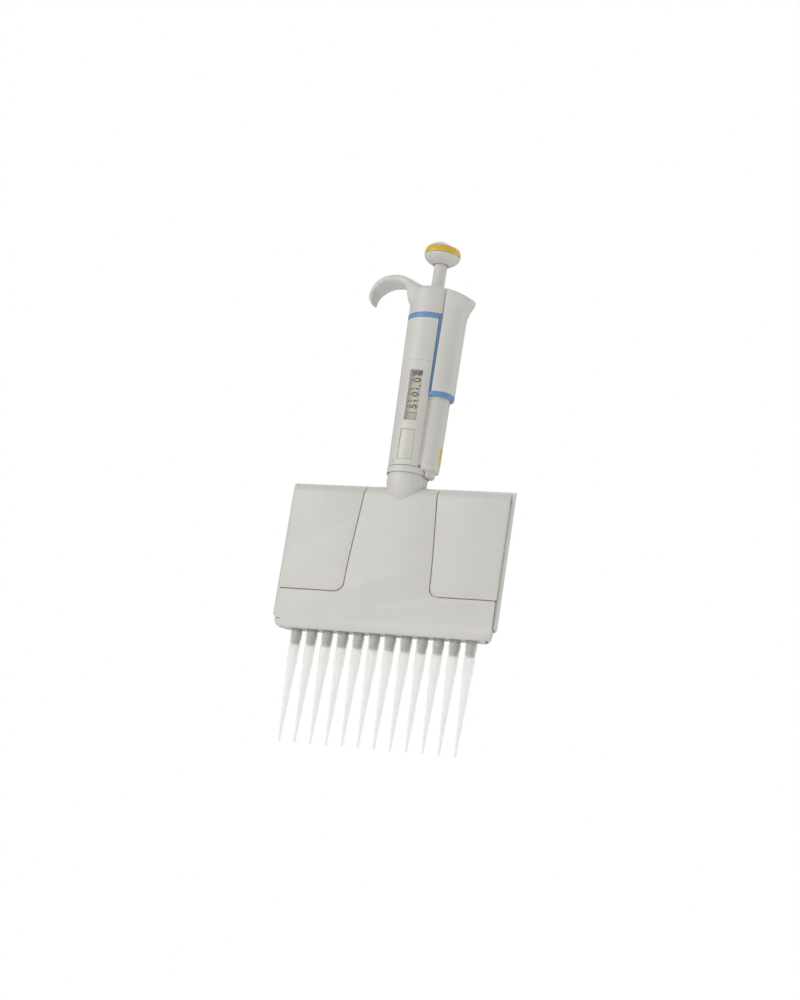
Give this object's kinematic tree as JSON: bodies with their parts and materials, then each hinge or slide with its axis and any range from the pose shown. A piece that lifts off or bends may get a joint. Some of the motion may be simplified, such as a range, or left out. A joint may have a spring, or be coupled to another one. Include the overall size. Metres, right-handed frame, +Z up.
{
  "type": "multichannel pipette",
  "caption": "Hand-held multichannel pipette with a finger hook, push button, volume counter, tip ejector and a wide swivelling head carrying a row of disposable tips.",
  "frame": {"origin": "on the handle's axis in the plane of the tip ends, with the row of tips centred on it", "axes": "+Z up along the handle towards the push button, +X along the row of channels towards the ejector key, -Y the front with the volume window"},
  "size_m": [0.1264, 0.026, 0.2762],
  "materials": {
    "shell": "fine moulded, satin",
    "collar": "satin, slightly warmer",
    "button": "satin",
    "yellow": "satin, colour code of the volume range",
    "blue": "satin trim",
    "cone": "moulded, satin",
    "tip": "translucent polypropylene",
    "window": "clear moulded window",
    "counter": "ivory with printed digits",
    "label": "blank printed film",
    "steel": "ground",
    "brass": "turned",
    "acetal": "turned acetal"
  },
  "bodies": {
    "handle": {"handle_housing": "shell", "bearing_ring": "acetal", "trim_ring": "blue", "window_lens": "window", "type_label": "label", "stop_bushing": "acetal", "counter_frame": "acetal", "plunger_spring": "steel", "blowout_spring": "steel", "ejector_spring": "steel"},
    "washer": {"blowout_washer": "steel"},
    "plunger": {"push_rod": "steel"},
    "button": {"button_stem": "button", "push_button": "button", "button_colour_ring": "yellow"},
    "sleeve": {"volume_sleeve": "brass"},
    "nut": {"stop_nut": "brass"},
    "wheel_tens": {"digit_wheel_tens": "counter"},
    "wheel_units": {"digit_wheel_units": "counter"},
    "wheel_tenths": {"digit_wheel_tenths": "counter"},
    "ejector_key": {"ejector_key": "shell", "key_trim": "blue", "ejector_slider": "collar"},
    "head": {"rear_cover": "shell", "left_panel": "shell", "right_panel": "shell", "top_frame": "acetal", "swivel_tube": "acetal", "cylinder_block": "acetal", "guide_rod_left": "steel", "guide_rod_right": "steel", "bar_spring_left": "steel", "bar_spring_right": "steel", "tip_cone_01": "cone", "tip_cone_02": "cone", "tip_cone_03": "cone", "tip_cone_04": "cone", "tip_cone_05": "cone", "tip_cone_06": "cone", "tip_cone_07": "cone", "tip_cone_08": "cone", "tip_cone_09": "cone", "tip_cone_10": "cone", "tip_cone_11": "cone", "tip_cone_12": "cone"},
    "ejector_shell": {"ejector_shell": "shell", "stripper_plate": "shell"},
    "rack": {"piston_rack": "steel"},
    "tips": {"tip_01": "tip", "tip_02": "tip", "tip_03": "tip", "tip_04": "tip", "tip_05": "tip", "tip_06": "tip", "tip_07": "tip", "tip_08": "tip", "tip_09": "tip", "tip_10": "tip", "tip_11": "tip", "tip_12": "tip"}
  },
  "joints": [
    {"name": "plunger_slide", "type": "slide", "parent": "handle", "child": "plunger", "axis": [0, 0, -1], "range_m": [0, 0.0115], "stiffness_N_per_m": 200, "springref_m": -0.012, "deforming": ["plunger_spring"]},
    {"name": "button_turn", "type": "hinge", "parent": "plunger", "child": "button", "pos_m": [0, 0, 0.262], "axis": [0, 0, 1], "range_deg": [-3240, 0]},
    {"name": "washer_slide", "type": "slide", "parent": "handle", "child": "washer", "axis": [0, 0, -1], "range_m": [0, 0.0015], "stiffness_N_per_m": 300, "springref_m": -0.001, "deforming": ["blowout_spring"]},
    {"name": "sleeve_turn", "type": "hinge", "parent": "handle", "child": "sleeve", "pos_m": [0, 0, 0.206], "axis": [0, 0, 1], "range_deg": [-3240, 0]},
    {"name": "nut_slide", "type": "slide", "parent": "handle", "child": "nut", "axis": [0, 0, -1], "range_m": [0, 0.009]},
    {"name": "tens_turn", "type": "hinge", "parent": "handle", "child": "wheel_tens", "pos_m": [0, 0, 0.1811], "axis": [0, 0, 1], "range_deg": [-162, 0]},
    {"name": "units_turn", "type": "hinge", "parent": "handle", "child": "wheel_units", "pos_m": [0, 0, 0.1878], "axis": [0, 0, 1], "range_deg": [-1620, 0]},
    {"name": "tenths_turn", "type": "hinge", "parent": "handle", "child": "wheel_tenths", "pos_m": [0, 0, 0.195], "axis": [0, 0, 1], "range_deg": [-16200, 0]},
    {"name": "head_swivel", "type": "hinge", "parent": "handle", "child": "head", "pos_m": [0, 0, 0.15], "axis": [0, 0, 1], "continuous": true},
    {"name": "shell_slide", "type": "slide", "parent": "head", "child": "ejector_shell", "axis": [0, 0, -1], "range_m": [0, 0.008], "stiffness_N_per_m": 150, "springref_m": -0.015},
    {"name": "key_slide", "type": "slide", "parent": "handle", "child": "ejector_key", "axis": [0, 0, -1], "range_m": [0, 0.008], "deforming": ["ejector_spring"]},
    {"name": "tips_slide", "type": "slide", "parent": "head", "child": "tips", "axis": [0, 0, -1], "range_m": [0, 0.008]},
    {"name": "rack_slide", "type": "slide", "parent": "head", "child": "rack", "axis": [0, 0, -1], "range_m": [0, 0.0115], "deforming": ["bar_spring_left", "bar_spring_right"]}
  ],
  "couplings": [
    {"joint": "sleeve_turn", "follows": "button_turn", "ratio": 1},
    {"joint": "nut_slide", "follows": "button_turn", "m_per_rad": -0.00015915},
    {"joint": "tens_turn", "follows": "button_turn", "ratio": 0.05},
    {"joint": "units_turn", "follows": "button_turn", "ratio": 0.5},
    {"joint": "tenths_turn", "follows": "button_turn", "ratio": 5},
    {"joint": "key_slide", "follows": "shell_slide", "ratio": 1},
    {"joint": "tips_slide", "follows": "shell_slide", "ratio": 1},
    {"joint": "rack_slide", "follows": "plunger_slide", "ratio": 1}
  ]
}
